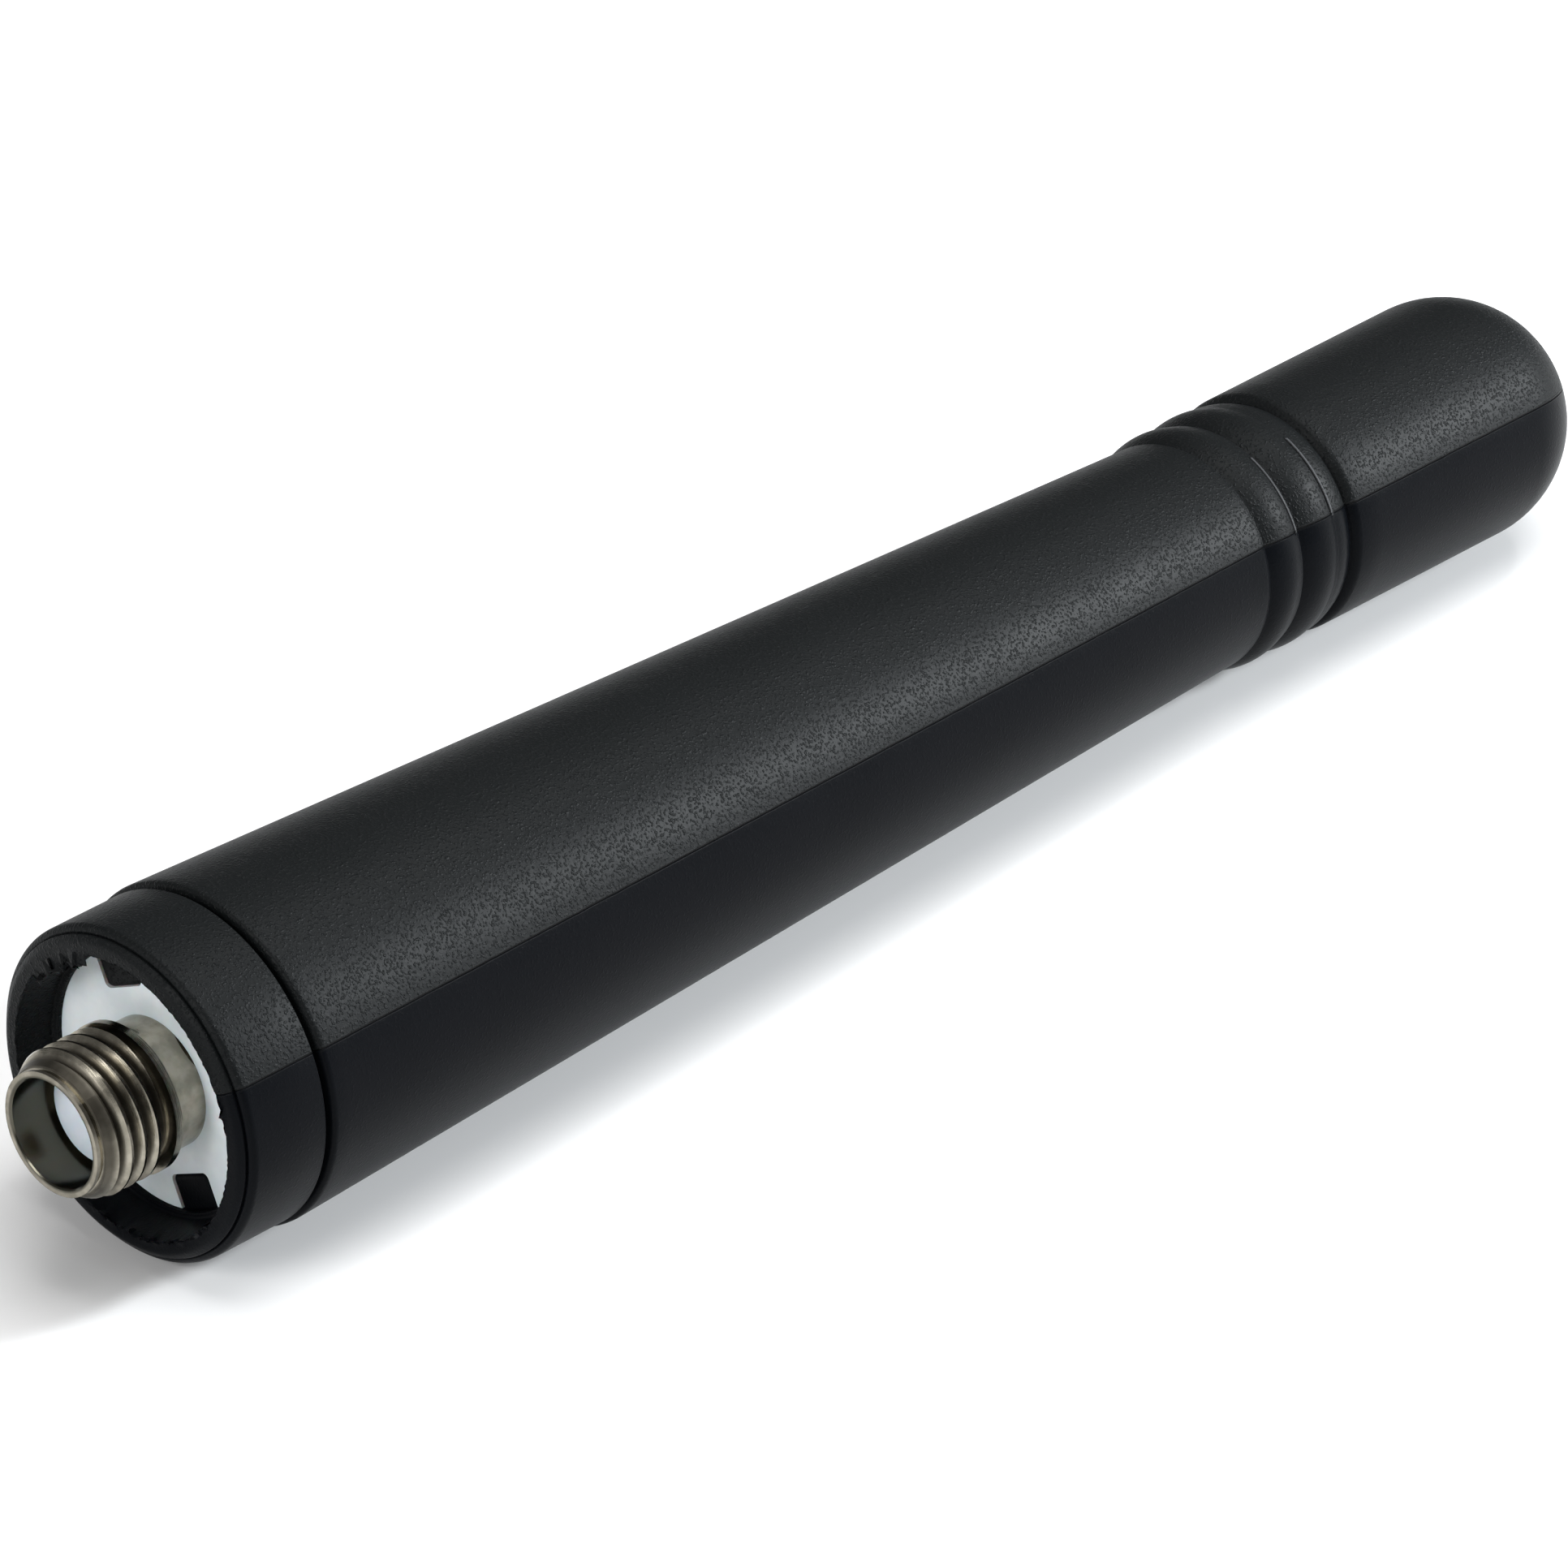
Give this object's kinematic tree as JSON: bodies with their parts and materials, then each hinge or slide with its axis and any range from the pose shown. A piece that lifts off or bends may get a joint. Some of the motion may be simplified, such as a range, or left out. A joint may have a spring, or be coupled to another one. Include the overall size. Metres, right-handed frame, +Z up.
{
  "type": "stubby helical antenna",
  "caption": "Stubby black moulded helical antenna for a hand-held radio: tapered elastomer whip with ribbed neck and domed tip on a threaded coaxial jack.",
  "frame": {"origin": "on the jack's axis, at the face of its insulator, where the mating plug's insulator seats", "axes": "+X along the antenna from the jack to the domed tip, +Z up, +Y completing a right-handed frame"},
  "size_m": [0.0946, 0.0148, 0.0148],
  "materials": {
    "plated_brass": "satin grey plating, as turned",
    "white_insulator": "waxy fluoropolymer",
    "gold_plate": "gold plated",
    "bare_brass": "as turned",
    "epoxy": "cast",
    "white_nylon": "satin",
    "solder": "dull",
    "natural_nylon": "satin",
    "copper_wire": "copper plated",
    "sleeve_film": "shrunk film",
    "plug_plastic": "moulded",
    "black_elastomer": "fine spark-eroded grain"
  },
  "bodies": {
    "base": {"connector_shell": "plated_brass", "connector_insulator": "white_insulator", "centre_contact": "gold_plate", "retaining_ring": "bare_brass", "rear_potting": "epoxy", "base_disc": "white_nylon", "feed_terminal": "bare_brass", "solder_joint": "solder"},
    "whip": {"sheath": "black_elastomer", "coil_former": "natural_nylon", "helix_coil": "copper_wire", "shrink_sleeve": "sleeve_film", "tip_plug": "plug_plastic"}
  },
  "joints": [
    {"name": "whip_flex", "type": "hinge", "parent": "base", "child": "whip", "pos_m": [0.024, 0, 0], "axis": [0, 0, 1], "range_deg": [-25, 25], "stiffness_Nm_per_rad": 0.7, "deforming": ["sheath", "coil_former", "helix_coil", "shrink_sleeve"]}
  ]
}
